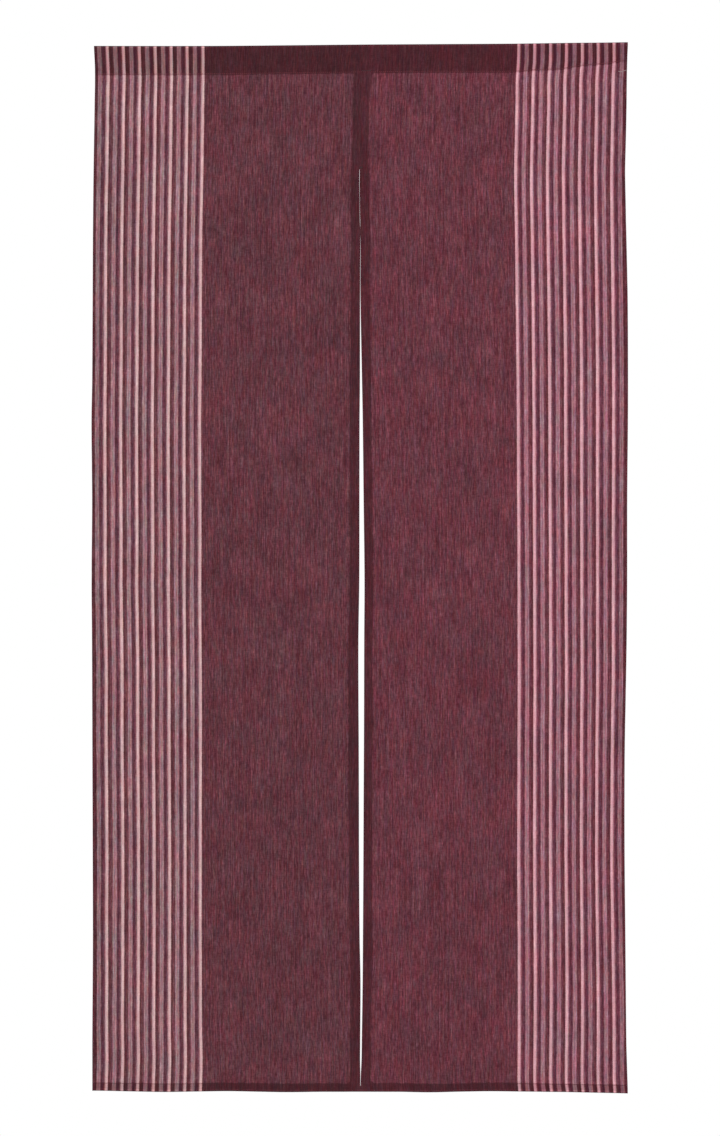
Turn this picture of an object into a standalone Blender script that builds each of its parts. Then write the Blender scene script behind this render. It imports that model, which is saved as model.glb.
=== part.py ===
"""Noren curtain: two striped cloth panels that hang from a sleeve for a rod, with a slit between them.

Metres, +Z up. The front of the cloth faces -Y. The origin is the middle of the heading's top edge.
Every piece is one sheet: a grid laid on the cloth, then given the thickness of its plies with Solidify.
"""

from collections import namedtuple
from math import cos, pi, sin

import bmesh
import bpy

# Driving sizes of the cloth and its hems
PLY = 0.0012
FRONT_FACE = -PLY
SLIT_HEM = 0.0145
FOOT_HEM = 0.0138
HEM_STEP = 0.0010
SEWN_GAP = 0.0004

# The sleeve: the gap between its sewn plies, how far above the turned-over ply's edge the pocket ends, its
# row of stitches, and the teardrop in which the empty pocket hangs, leaning to the back.
FOLD_GAP = 0.0003
SEWN_WEB = 0.0045
STITCH_TO_EDGE = 0.0020
STITCH_HEIGHT = 0.0009
STITCH_BITE = 0.6
POCKET_LEAN = 0.34
TEARDROP_POWER = 1.4
TEARDROP_GAIN = 1.45

# Grid divisions
PANEL_COLUMNS = 17
PANEL_ROWS = 30
CREASE_CLEARANCE = 1.6
HEADING_COLUMNS = 22
SLEEVE_ROWS = 22

CLOTH_COLOUR = (0.122, 0.038, 0.051, 1.0)
DOUBLED_COLOUR = (0.072, 0.020, 0.027, 1.0)
CLOTH_ROUGHNESS = 0.92

# The hanging outline: how far each edge stands from the middle, at a drop below the top edge.
Outline = namedtuple("Outline", "drop outer_left slit_left slit_right outer_right")
OUTLINE = (
    Outline(0.000, -0.4238, 0.0001, 0.0005, 0.4250),
    Outline(0.045, -0.4222, 0.0001, 0.0005, 0.4237),
    Outline(0.100, -0.4229, 0.0001, 0.0005, 0.4231),
    Outline(0.150, -0.4237, 0.0000, 0.0004, 0.4222),
    Outline(0.205, -0.4245, -0.0003, 0.0001, 0.4208),
    Outline(0.300, -0.4255, -0.0004, 0.0002, 0.4227),
    Outline(0.405, -0.4259, -0.0005, 0.0004, 0.4249),
    Outline(0.535, -0.4266, -0.0008, 0.0025, 0.4253),
    Outline(0.600, -0.4278, -0.0017, 0.0038, 0.4252),
    Outline(0.725, -0.4268, -0.0019, 0.0052, 0.4240),
    Outline(0.850, -0.4276, -0.0022, 0.0066, 0.4241),
    Outline(0.945, -0.4269, -0.0037, 0.0063, 0.4234),
    Outline(1.040, -0.4266, -0.0036, 0.0061, 0.4217),
    Outline(1.105, -0.4264, -0.0030, 0.0058, 0.4203),
    Outline(1.296, -0.4255, -0.0026, 0.0049, 0.4195),
    Outline(1.420, -0.4256, -0.0017, 0.0041, 0.4210),
    Outline(1.490, -0.4258, -0.0005, 0.0038, 0.4216),
    Outline(1.583, -0.4267, -0.0006, 0.0023, 0.4225),
    Outline(1.640, -0.4267, -0.0003, 0.0003, 0.4242),
    Outline(1.668, -0.4267, -0.0001, 0.0003, 0.4249),
)

# The edges that run across, as drops below the top edge: the crest of the heading, its stitch line, the lower
# edge of its turned-over ply and the foot of the panels. The last column is how far the pocket stands open.
Across = namedtuple("Across", "x crest stitch ply_edge foot pocket")
ACROSS = (
    Across(-0.424, 0.0022, 0.0458, 0.0442, 1.6642, 0.0122),
    Across(-0.238, 0.0022, 0.0457, 0.0441, 1.6645, 0.0130),
    Across(-0.100, 0.0010, 0.0452, 0.0436, 1.6648, 0.0124),
    Across(0.000, 0.0000, 0.0446, 0.0430, 1.6650, 0.0128),
    Across(0.100, -0.0006, 0.0445, 0.0429, 1.6648, 0.0132),
    Across(0.240, -0.0014, 0.0440, 0.0424, 1.6645, 0.0126),
    Across(0.285, -0.0020, 0.0438, 0.0414, 1.6643, 0.0124),
    Across(0.320, -0.0025, 0.0436, 0.0395, 1.6646, 0.0124),
    Across(0.360, -0.0029, 0.0434, 0.0350, 1.6661, 0.0126),
    Across(0.390, -0.0032, 0.0432, 0.0328, 1.6670, 0.0128),
    Across(0.425, -0.0037, 0.0431, 0.0300, 1.6680, 0.0130),
)

# Soft upright folds: the distance of each from the panel's outer edge, its half width, and how far the cloth
# stands back (plus) or forward (minus) there at five drops.
FOLD_DROPS = (0.045, 0.205, 0.650, 1.150, 1.665)
Fold = namedtuple("Fold", "from_edge half_width heading seam_end upper lower foot")
LEFT_FOLDS = (
    Fold(0.000, 0.075, 0.0, 0.0010, 0.0040, 0.0060, 0.0090),
    Fold(0.115, 0.060, 0.0, -0.0010, -0.0030, -0.0040, -0.0070),
    Fold(0.215, 0.055, 0.0, 0.0005, 0.0010, 0.0030, 0.0060),
    Fold(0.310, 0.060, 0.0, -0.0015, -0.0040, -0.0040, -0.0060),
    Fold(0.425, 0.080, 0.0, 0.0000, 0.0070, 0.0060, 0.0010),
)
RIGHT_FOLDS = (
    Fold(0.000, 0.090, 0.0, 0.0040, 0.0020, 0.0130, 0.0040),
    Fold(0.120, 0.065, 0.0, -0.0020, -0.0030, -0.0060, -0.0060),
    Fold(0.220, 0.055, 0.0, 0.0010, 0.0020, 0.0030, 0.0050),
    Fold(0.315, 0.055, 0.0, -0.0010, -0.0030, -0.0050, -0.0080),
    Fold(0.425, 0.080, 0.0, 0.0000, 0.0060, 0.0100, 0.0010),
)

# Packing creases across a panel: their drop at the outer edge and at the slit edge, half height and depth.
Crease = namedtuple("Crease", "drop_outer drop_slit half_height depth")
LEFT_CREASES = (
    Crease(0.660, 0.656, 0.014, 0.0012),
    Crease(0.842, 0.846, 0.016, 0.0016),
)
RIGHT_CREASES = (
    Crease(0.668, 0.662, 0.014, 0.0010),
    Crease(1.134, 1.140, 0.016, 0.0012),
)

Panel = namedtuple("Panel", "name side outer slit folds creases")
PANELS = (
    Panel("panel_left", -1, "outer_left", "slit_left", LEFT_FOLDS, LEFT_CREASES),
    Panel("panel_right", 1, "outer_right", "slit_right", RIGHT_FOLDS, RIGHT_CREASES),
)


def mix(start, end, share):
    return start + (end - start) * share


def smooth_at(table, column, at):
    """Reads one column of a table anywhere between its rows, on a smooth curve through them."""
    places = [row[0] for row in table]
    values = [getattr(row, column) for row in table]
    last = len(table) - 2
    first = max((i for i in range(last + 1) if places[i] <= at), default=0)

    def slope(i):
        low = max(i - 1, 0)
        high = min(i + 1, last + 1)
        return (values[high] - values[low]) / (places[high] - places[low])

    span = places[first + 1] - places[first]
    t = min(max((at - places[first]) / span, 0.0), 1.0)
    rise = values[first + 1] - values[first]
    ease = t * t * (3.0 - 2.0 * t)
    start_pull = t * (1.0 - t) ** 2 * slope(first) * span
    end_pull = t * t * (1.0 - t) * slope(first + 1) * span
    return values[first] + rise * ease + start_pull - end_pull


def eased_at(places, values, at):
    """Steps softly from one value to the next between the places."""
    for i in range(len(places) - 1):
        if at <= places[i + 1]:
            t = min(max((at - places[i]) / (places[i + 1] - places[i]), 0.0), 1.0)
            return mix(values[i], values[i + 1], t * t * (3.0 - 2.0 * t))
    return values[-1]


def swell(distance, half_width):
    """1 on the line of a fold, 0 from its half width outwards."""
    if abs(distance) >= half_width:
        return 0.0
    return 0.5 + 0.5 * cos(pi * distance / half_width)


def fold_depth(panel, from_edge, drop):
    """How far back the panel's front face stands at a point of the cloth."""
    depth = 0.0
    for fold in panel.folds:
        stand = eased_at(FOLD_DROPS, fold[2:], drop)
        depth += stand * swell(from_edge - fold.from_edge, fold.half_width)
    across = from_edge / panel.folds[-1].from_edge
    for crease in panel.creases:
        line = mix(crease.drop_outer, crease.drop_slit, across)
        depth += crease.depth * swell(drop - line, crease.half_height)
    return depth


def panel_rows(panel):
    """Drops of the grid's rows at full length: even ones, and three at each crease."""
    top = ACROSS[0].stitch
    foot = ACROSS[0].foot - FOOT_HEM
    rows = [mix(top, foot, i / PANEL_ROWS) for i in range(PANEL_ROWS + 1)]
    for crease in panel.creases:
        middle = mix(crease.drop_outer, crease.drop_slit, 0.5)
        rows = [row for row in rows if abs(row - middle) > CREASE_CLEARANCE * crease.half_height]
        rows += [middle - crease.half_height, middle, middle + crease.half_height]
    return sorted(rows)


def grid_mesh(name, columns, rows, place):
    """A grid whose points are moved to where place(column, row) says, with row 0 at the top."""
    bm = bmesh.new()
    bmesh.ops.create_grid(bm, x_segments=columns, y_segments=rows, size=1.0)
    weights = []
    for vertex in bm.verts:
        column = round((vertex.co.x + 1.0) / 2.0 * columns)
        row = round((1.0 - vertex.co.y) / 2.0 * rows)
        point, thickness = place(column, row)
        vertex.co = point
        weights.append(thickness)
    bmesh.ops.recalc_face_normals(bm, faces=bm.faces)
    if sum(face.normal.y for face in bm.faces) > 0.0:
        bmesh.ops.reverse_faces(bm, faces=bm.faces)
    mesh = bpy.data.meshes.new(name)
    bm.to_mesh(mesh)
    bm.free()
    return mesh, weights


def thick_sheet(name, columns, rows, place, collection, offset=-1.0):
    """A sheet from grid_mesh, its thickness at each point in a vertex group: behind the grid, or about it."""
    mesh, weights = grid_mesh(name, columns, rows, place)
    sheet = bpy.data.objects.new(name, mesh)
    collection.objects.link(sheet)
    thickest = max(weights)
    plies = sheet.vertex_groups.new(name="plies")
    for index, thickness in enumerate(weights):
        plies.add([index], thickness / thickest, "REPLACE")
    solidify = sheet.modifiers.new("plies", "SOLIDIFY")
    solidify.thickness = thickest
    solidify.offset = offset
    solidify.vertex_group = plies.name
    solidify.thickness_vertex_group = 0.0
    return sheet


def make_panel(panel, collection):
    """One panel: a single ply, doubled along the slit and at the foot, where a hem is turned to the back."""
    main_rows = panel_rows(panel)
    columns = PANEL_COLUMNS + 2
    rows = len(main_rows) - 1 + 2

    def drop_at(row, x):
        stitch = smooth_at(ACROSS, "stitch", x) + SEWN_GAP
        foot = smooth_at(ACROSS, "foot", x)
        if row == rows:
            return foot
        if row == rows - 1:
            return foot - FOOT_HEM + HEM_STEP
        share = (main_rows[row] - main_rows[0]) / (main_rows[-1] - main_rows[0])
        stretch = mix(stitch - main_rows[0], foot - FOOT_HEM - main_rows[-1], share)
        return main_rows[row] + stretch

    def across_at(column, drop):
        outer = smooth_at(OUTLINE, panel.outer, drop)
        slit = smooth_at(OUTLINE, panel.slit, drop)
        hem = slit + panel.side * SLIT_HEM
        if column == columns:
            return outer, slit
        if column == columns - 1:
            return outer, hem - panel.side * HEM_STEP
        return outer, mix(outer, hem, column / PANEL_COLUMNS)

    def place(column, row):
        column = column if panel.side < 0 else columns - column
        x = mix(ACROSS[0].x, 0.0, column / columns) * -panel.side
        for _ in range(2):
            drop = drop_at(row, x)
            outer, x = across_at(column, drop)
        y = FRONT_FACE + fold_depth(panel, abs(x - outer), drop)
        doubled = column >= columns - 1 or row >= rows - 1
        return (x, y, -drop), 2.0 * PLY if doubled else PLY

    return thick_sheet(panel.name, columns, rows, place, collection)


def sleeve_point(x, row):
    """Depth and drop of the sleeve's cloth: up the front ply, over the crest and down the turned-over ply."""
    crest = smooth_at(ACROSS, "crest", x) + PLY / 2.0
    web = smooth_at(ACROSS, "ply_edge", x) - SEWN_WEB
    pocket = smooth_at(ACROSS, "pocket", x)
    turn = min(max((row - 1) / SLEEVE_ROWS, 0.0), 1.0) * 2.0 * pi
    drop = mix(web, crest, (1.0 - cos(turn)) / 2.0)
    half_open = pocket / 2.0 * TEARDROP_GAIN * sin(turn) * sin(turn / 2.0) ** TEARDROP_POWER
    lean_back = POCKET_LEAN * pocket * sin(turn) ** 2
    sewn = mix(-PLY / 2.0, PLY / 2.0 + FOLD_GAP, (1.0 - cos(turn / 2.0)) / 2.0)
    if row == 0:
        drop = smooth_at(ACROSS, "stitch", x)
    if row == SLEEVE_ROWS + 2:
        drop = smooth_at(ACROSS, "ply_edge", x)
    return sewn + lean_back - half_open, drop


def make_heading(collection):
    """The sleeve: one sheet turned over to the back, its two plies a little apart below the stitches."""

    def place(column, row):
        share = column / HEADING_COLUMNS
        y, drop = sleeve_point(mix(ACROSS[0].x, ACROSS[-1].x, share), row)
        left = smooth_at(OUTLINE, "outer_left", drop)
        right = smooth_at(OUTLINE, "outer_right", drop)
        return (mix(left, right, share), y, -drop), PLY

    return thick_sheet("heading", HEADING_COLUMNS, SLEEVE_ROWS + 2, place, collection, offset=0.0)


def make_stitches(collection):
    """The row of stitches that joins the sleeve's two plies above the turned-over ply's edge."""

    def place(column, row):
        share = column / HEADING_COLUMNS
        ply_edge = smooth_at(ACROSS, "ply_edge", mix(ACROSS[0].x, ACROSS[-1].x, share))
        drop = ply_edge - STITCH_TO_EDGE + (row - 1.0) * STITCH_HEIGHT
        left = smooth_at(OUTLINE, "outer_left", drop) + STITCH_HEIGHT
        right = smooth_at(OUTLINE, "outer_right", drop) - STITCH_HEIGHT
        return (mix(left, right, share), -STITCH_BITE * PLY, -drop), 2.0 * STITCH_BITE * PLY + FOLD_GAP

    return thick_sheet("stitch_row", HEADING_COLUMNS, 1, place, collection)


def join(body, helper):
    union = body.modifiers.new("sewn", "BOOLEAN")
    union.operation = "UNION"
    union.solver = "EXACT"
    union.object = helper
    helper.hide_render = True
    helper.display_type = "WIRE"


def cloth_material(name, colour):
    material = bpy.data.materials.new(name)
    material.use_nodes = True
    shader = material.node_tree.nodes["Principled BSDF"]
    shader.inputs["Base Color"].default_value = colour
    shader.inputs["Roughness"].default_value = CLOTH_ROUGHNESS
    shader.inputs["Metallic"].default_value = 0.0
    return material


def new_collection(name):
    collection = bpy.data.collections.new(name)
    bpy.context.scene.collection.children.link(collection)
    return collection


def main():
    for old in list(bpy.data.objects):
        bpy.data.objects.remove(old, do_unlink=True)
    curtain = new_collection("noren_curtain")
    helpers = new_collection("noren_helpers")

    cloth = cloth_material("panel_cloth", CLOTH_COLOUR)
    for panel in PANELS:
        sheet = make_panel(panel, curtain)
        sheet.data.materials.append(cloth)

    heading = make_heading(curtain)
    heading.data.materials.append(cloth_material("heading_cloth", DOUBLED_COLOUR))
    join(heading, make_stitches(helpers))

    for piece in curtain.objects:
        piece.data.shade_smooth()


main()
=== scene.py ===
# %% [markdown]
# A noren is a light curtain that hangs across a doorway. This one is two panels of thin striped cloth,
# sewn together below the heading for a hand's length and open from there down, so that a person walks
# through. The top of the cloth is turned over to the back and stitched down, which leaves a sleeve for a
# rod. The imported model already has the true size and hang. This lesson dresses it in thin cloth with
# turned hems, in sewing thread, and in a woven finish that is made of shader nodes.

from collections import namedtuple
from math import pi

import bpy
import numpy as np
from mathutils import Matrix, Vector


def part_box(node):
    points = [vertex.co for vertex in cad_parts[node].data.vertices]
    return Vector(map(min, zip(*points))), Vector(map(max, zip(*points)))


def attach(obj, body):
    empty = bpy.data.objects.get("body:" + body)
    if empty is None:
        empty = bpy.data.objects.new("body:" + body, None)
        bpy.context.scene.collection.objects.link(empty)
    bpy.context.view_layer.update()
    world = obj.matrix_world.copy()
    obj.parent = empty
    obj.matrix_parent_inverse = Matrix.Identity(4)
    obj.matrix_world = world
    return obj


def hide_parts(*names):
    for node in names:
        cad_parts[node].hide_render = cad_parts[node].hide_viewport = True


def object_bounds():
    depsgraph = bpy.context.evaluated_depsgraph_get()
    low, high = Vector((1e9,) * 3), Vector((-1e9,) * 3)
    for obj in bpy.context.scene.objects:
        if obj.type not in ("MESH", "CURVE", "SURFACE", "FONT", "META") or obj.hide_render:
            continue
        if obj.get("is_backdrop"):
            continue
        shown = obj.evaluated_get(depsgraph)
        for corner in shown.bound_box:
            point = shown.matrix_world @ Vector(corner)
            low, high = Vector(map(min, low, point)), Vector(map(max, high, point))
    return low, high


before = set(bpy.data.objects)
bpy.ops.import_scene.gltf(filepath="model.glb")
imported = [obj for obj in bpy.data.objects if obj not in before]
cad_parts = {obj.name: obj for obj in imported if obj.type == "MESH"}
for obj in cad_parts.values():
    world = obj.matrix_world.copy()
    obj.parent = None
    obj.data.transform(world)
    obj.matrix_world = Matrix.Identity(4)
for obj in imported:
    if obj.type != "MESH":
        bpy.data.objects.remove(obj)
cad_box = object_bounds()
bpy.ops.object.select_all(action="DESELECT")
for node in sorted(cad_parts):
    low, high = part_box(node)
    print(node, "is", " x ".join(f"{1000 * side:.1f}" for side in high - low), "mm")

# %% [markdown]
# The camera comes first, because every later choice is judged through it. The picture is a flat,
# straight-on view, so the camera stands well back on the middle of the curtain with a long lens. The lens
# length follows from the height that the picture takes in, by like triangles.

# %% The camera
VIEW_HEIGHT = 1.8066
VIEW_CENTRE = Vector((-0.0008, 0.0, -0.8322))
CAMERA_DISTANCE = 7.0
SENSOR = 0.036

camera_data = bpy.data.cameras.new("camera")
camera_data.sensor_width = 1000 * SENSOR
camera_data.lens = 1000 * SENSOR * CAMERA_DISTANCE / VIEW_HEIGHT
camera = bpy.data.objects.new("camera", camera_data)
bpy.context.scene.collection.objects.link(camera)
camera.location = VIEW_CENTRE + Vector((0.0, -CAMERA_DISTANCE, 0.0))
camera.rotation_euler = (pi / 2, 0.0, 0.0)
bpy.context.scene.camera = camera
print(f"lens {camera_data.lens:.1f} mm at {CAMERA_DISTANCE} m")

# %% [markdown]
# Cloth is described here as a tailor would measure it on the wall. A table gives, in millimetres, how far
# each edge stands from the middle at several drops below the top edge. The distances were measured in the
# photograph, and corrected by comparing the render with it.

# %% The edges, at drops below the top edge
def table(columns, *rows):
    """Rows of values under named columns."""
    row = namedtuple("Row", columns)
    return [row(*values) for values in rows]


def measures(columns, *rows):
    """A table that is written in millimetres and kept in metres."""
    return table(columns, *(np.array(row) / 1000.0 for row in rows))


OUTLINE = measures(
    "drop outer_left slit_left slit_right outer_right",
    (0, -423.8, 0.1, 0.5, 425),
    (45, -422.2, 0.1, 0.5, 423.7),
    (100, -422.9, 0.1, 0.5, 423.1),
    (150, -423.7, -0.1, 0.3, 422.2),
    (199, -424.5, -1.9, -1.1, 421),
    (209, -424.6, -2.1, -1.2, 421.1),
    (222, -424.8, -2.1, -1.3, 421.3),
    (250, -425.1, -1.7, -1, 421.9),
    (275, -425.3, -1.3, -0.5, 422.3),
    (285, -425.4, -1, -0.2, 422.5),
    (294, -425.5, -0.4, 0, 422.8),
    (307, -425.6, -0.3, 0.3, 423.1),
    (330, -425.7, -0.5, 0.3, 423.6),
    (405, -426.1, -0.9, 0.2, 425.1),
    (535, -426.9, -1.1, 2.6, 425.6),
    (600, -428, -1.7, 3.8, 425.4),
    (725, -427, -1.9, 5.2, 424.3),
    (850, -427.9, -2.1, 6.6, 424.4),
    (945, -427.3, -3.5, 6.1, 423.8),
    (1040, -427, -3.4, 5.9, 422.4),
    (1105, -426.8, -3, 5.7, 421.2),
    (1200, -426.5, -2.7, 5.2, 420.6),
    (1296, -426.2, -2.5, 4.8, 420.7),
    (1420, -426, -1.6, 4.1, 421.7),
    (1490, -426.4, -0.2, 3.6, 422.2),
    (1583, -427, -0.7, 2.3, 423),
    (1615, -427, -0.9, 1.8, 423.8),
    (1638, -427, -0.5, 0.7, 424.5),
    (1653, -427, -0.5, 0.4, 425),
    (1668, -427, -0.2, 0.3, 425.3),
)

# %% The edges that run across
# Drops of the crest, the seam, the top of the sewn web, the turned-over ply's edge and the foot. The last
# column is how deep the sleeve's pocket is.
ACROSS = measures(
    "x crest seam web ply_edge foot pocket",
    (-424, 2.2, 45.8, 39.7, 49, 1664.2, 12.2),
    (-238, 2.2, 45.7, 39.6, 48.7, 1664.5, 13),
    (-100, 1, 45.2, 39.1, 46.8, 1664.8, 12.4),
    (0, 0, 44.6, 38.5, 45.8, 1665, 12.8),
    (100, -0.6, 44.5, 38.4, 44.9, 1664.8, 13.2),
    (240, -1.4, 44, 37.9, 44.6, 1664.5, 12.6),
    (285, -2, 43.8, 36.9, 41.8, 1664.3, 12.4),
    (320, -2.5, 43.6, 35.5, 40.5, 1664.6, 12.4),
    (345, -2.8, 43.5, 31, 35.8, 1665.5, 12.5),
    (360, -2.9, 43.4, 29.8, 34.4, 1666.1, 12.6),
    (390, -3.2, 43.2, 27.5, 32, 1667, 12.8),
    (405, -3.4, 43.2, 25.1, 29.5, 1667.4, 12.9),
    (425, -3.7, 43.1, 22.2, 26.6, 1668, 13),
)
MIDDLE = next(row for row in ACROSS if row.x == 0.0)

# %% [markdown]
# The stripes are woven in, so they ride on the cloth and not on the wall. A third table follows three
# threads of each striped band down the curtain: the middles of its first and its fourth pink stripe,
# counted from the outside, and the inner border of its last one. Every other stripe is spaced between
# those three.

# %% The stripes' guide threads, at drops below the top edge
GUIDES = measures(
    "drop pink_left middle_left border_left border_right middle_right pink_right",
    (0, -402.2, -325.9, -247.7, 249, 326.7, 402.3),
    (26, -401.3, -325.4, -247.8, 248.6, 326.7, 402.7),
    (41, -400.6, -325.1, -247.8, 247.5, 325.4, 401.7),
    (52, -400.4, -324.8, -247.7, 246.8, 324.5, 401.2),
    (64, -400.6, -325.1, -247.9, 246.5, 324, 400.8),
    (100, -401.4, -325.8, -248.4, 246.1, 323.8, 400.5),
    (152, -402, -326.3, -249, 245.1, 322.7, 399.8),
    (202, -402.7, -326.9, -249.6, 244, 321.8, 398.9),
    (250, -403.6, -327.7, -250.5, 244.4, 322.2, 399.1),
    (311, -404.4, -328.6, -251.4, 245.5, 322.9, 399.8),
    (406, -405, -329.2, -252, 246.5, 324.2, 400.9),
    (500, -405.3, -329.5, -252.3, 247.5, 325.1, 401.8),
    (597, -406.1, -330.2, -253.1, 248.3, 325.4, 401.9),
    (700, -405.8, -330, -252.9, 248.6, 325.6, 401.7),
    (800, -405.6, -329.5, -252.7, 249.3, 326.1, 401.5),
    (851, -405.7, -329.9, -253, 249.4, 326.1, 401.7),
    (915, -404.9, -329.2, -252.7, 249.5, 326.2, 401.6),
    (1000, -403.8, -328.4, -252.1, 249.8, 326.6, 401.7),
    (1106, -404, -328.4, -252, 249.4, 325.9, 400.5),
    (1200, -403.3, -327.7, -252.1, 249.1, 325.9, 399.7),
    (1297, -402.8, -327.2, -252.2, 248.9, 325.8, 399.3),
    (1400, -403.3, -327.2, -252.4, 249.6, 326.7, 400.6),
    (1487, -403.1, -327.5, -252, 249.7, 327.4, 401.9),
    (1560, -403.5, -327.8, -251.8, 249.7, 327.2, 402.7),
    (1615, -402.9, -327.3, -251, 249.6, 326.6, 402.8),
    (1650, -403.8, -328.3, -251.6, 249.6, 326.5, 403.1),
    (1664, -404.4, -328.8, -252, 250.8, 328.2, 404.2),
)

# %% [markdown]
# The tables are read on a smooth curve through their rows, so that an edge bends softly from one to the
# next. NumPy reads a whole sheet of points at once.

# %% Reading the tables
def mix(start, end, share):
    return start + (end - start) * share


def ease(share):
    share = np.clip(share, 0.0, 1.0)
    return share * share * (3.0 - 2.0 * share)


def read(rows, column, at):
    """One column of a table at any places, on a smooth curve through its rows."""
    places = np.array([row[0] for row in rows])
    values = np.array([getattr(row, column) for row in rows])
    steps = np.diff(values) / np.diff(places)
    slopes = (values[2:] - values[:-2]) / (places[2:] - places[:-2])
    slopes = np.concatenate([steps[:1], slopes, steps[-1:]])
    first = np.clip(np.searchsorted(places, at, side="right") - 1, 0, len(places) - 2)
    span = places[first + 1] - places[first]
    t = np.clip((at - places[first]) / span, 0.0, 1.0)
    start_pull = t * (1.0 - t) ** 2 * slopes[first] * span
    end_pull = t * t * (1.0 - t) * slopes[first + 1] * span
    return mix(values[first], values[first + 1], ease(t)) + start_pull - end_pull


def stepped(places, values, at):
    """Eases from one value to the next between the places."""
    first = np.clip(np.searchsorted(places, at, side="right") - 1, 0, len(places) - 2)
    places = np.array(places)
    values = np.array(values)
    share = (at - places[first]) / (places[first + 1] - places[first])
    return mix(values[first], values[first + 1], ease(share))


def swell(distance, half_width):
    """1 on the line of a fold, 0 from its half width outwards."""
    return 0.5 + 0.5 * np.cos(pi * np.clip(distance / half_width, -1.0, 1.0))


half_way = read(OUTLINE, "outer_left", np.array([-VIEW_CENTRE.z]))[0]
print("half way down, the left selvedge stands", f"{-1000 * half_way:.1f}", "mm from the middle")

# %% [markdown]
# Each panel has five soft upright folds, and two faint creases across it from the time it lay folded.
# These are the model's own folds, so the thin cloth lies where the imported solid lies.

# %% Folds and creases
FOLD_DROPS = (0.045, 0.205, 0.650, 1.150, 1.665)
FOLD_COLUMNS = "from_edge half_width heading seam_end upper lower foot"
LEFT_FOLDS = measures(
    FOLD_COLUMNS,
    (0, 75, 0, 1, 4, 6, 9),
    (115, 60, 0, -1, -3, -4, -7),
    (215, 55, 0, 0.5, 1, 3, 6),
    (310, 60, 0, -1.5, -4, -4, -6),
    (425, 80, 0, 0, 7, 6, 1),
)
RIGHT_FOLDS = measures(
    FOLD_COLUMNS,
    (0, 90, 0, 4, 2, 13, 4),
    (120, 65, 0, -2, -3, -6, -6),
    (220, 55, 0, 1, 2, 3, 5),
    (315, 55, 0, -1, -3, -5, -8),
    (425, 80, 0, 0, 6, 10, 1),
)
CREASE_COLUMNS = "drop_outer drop_slit half_height depth"
LEFT_CREASES = measures(CREASE_COLUMNS, (660, 656, 14, 1.2), (842, 846, 16, 1.6))
RIGHT_CREASES = measures(CREASE_COLUMNS, (668, 662, 14, 1), (1134, 1140, 16, 1.2))
PANELS = table(
    "node hand side folds creases",
    ("panel_left", "left", -1, LEFT_FOLDS, LEFT_CREASES),
    ("panel_right", "right", 1, RIGHT_FOLDS, RIGHT_CREASES),
)


def fold_depth(panel, from_edge, drop):
    """How far back the cloth stands at a point of a panel."""
    depth = np.zeros_like(drop)
    for fold in panel.folds:
        depth += stepped(FOLD_DROPS, fold[2:], drop) * swell(from_edge - fold.from_edge, fold.half_width)
    for crease in panel.creases:
        line = mix(crease.drop_outer, crease.drop_slit, from_edge / panel.folds[-1].from_edge)
        depth += crease.depth * swell(drop - line, crease.half_height)
    return depth


# %% [markdown]
# Three sizes describe the cloth: its thickness, how far one layer of a hem lies behind the next, and the
# depth of the front layer. The hems were turned by hand, so their width changes down the slit. Above the
# slit and in the hem at the foot the two folded edges overlap by a hair.

# %% The cloth and its hems
CLOTH = 0.0005
LAYER = 0.0006
FRONT = -0.00075
FLAP = 0.0006
SLIT_HEM = 0.0145
FOOT_HEM = 0.0135
HEM_WANDER = 0.0005
FOOT_WANDER = 0.0003
LONG_WANDER = 0.37
SHORT_WANDER = 0.13
FOOT_WANDER_LENGTH = 0.19
SIDE_SHIFT = 0.074
SLIT_TOP = 0.1990
SLIT_FOOT = 1.6555
SEWN_LAP = 0.00060
FOOT_LAP = 0.00050
SLIT_END = 0.0030
HEMS = measures(
    "drop left right",
    (50, 12.1, 18.6),
    (90, 12.3, 14.8),
    (150, 13.6, 13.4),
    (215, 13.6, 15),
    (300, 14.8, 14.9),
    (420, 15.2, 15.5),
    (500, 15.8, 15.3),
    (620, 15.2, 13.5),
    (750, 15.3, 13.9),
    (900, 15.8, 13.8),
    (1050, 16.3, 13.8),
    (1300, 15.8, 13.8),
    (1450, 15.7, 15.2),
    (1550, 15.6, 14.6),
    (1650, 16, 15.2),
)

# Where the guide threads lie in the flat cloth, from the selvedge
PINK_AT = 0.0213
MIDDLE_AT = 0.0973
BORDER_AT = 0.1753
CURTAIN_WIDTH = 0.8520


def edges(panel, drop):
    """Where a panel's selvedge and its slit edge stand, with the sewn part and the foot closed."""
    joined = SEWN_LAP * ease((SLIT_TOP - drop) / SLIT_END) + FOOT_LAP * ease((drop - SLIT_FOOT) / SLIT_END)
    outer = read(OUTLINE, "outer_" + panel.hand, drop)
    return outer, read(OUTLINE, "slit_" + panel.hand, drop) - panel.side * joined


def from_selvedge(panel, x, drop):
    """Distance in the flat cloth from the selvedge, spaced by the three guide threads."""
    threads = ("pink_", "middle_", "border_")
    pink, middle, border = (np.abs(read(GUIDES, thread + panel.hand, drop)) for thread in threads)
    share = (pink - np.abs(x)) / (pink - border)
    bend = (MIDDLE_AT - PINK_AT) / (BORDER_AT - PINK_AT) - (pink - middle) / (pink - border)
    share = share + 4.0 * bend * np.clip(share * (1.0 - share), 0.0, None)
    return PINK_AT + share * (BORDER_AT - PINK_AT)


def wave(place, length):
    return np.sin(2 * pi * place / length)


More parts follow.
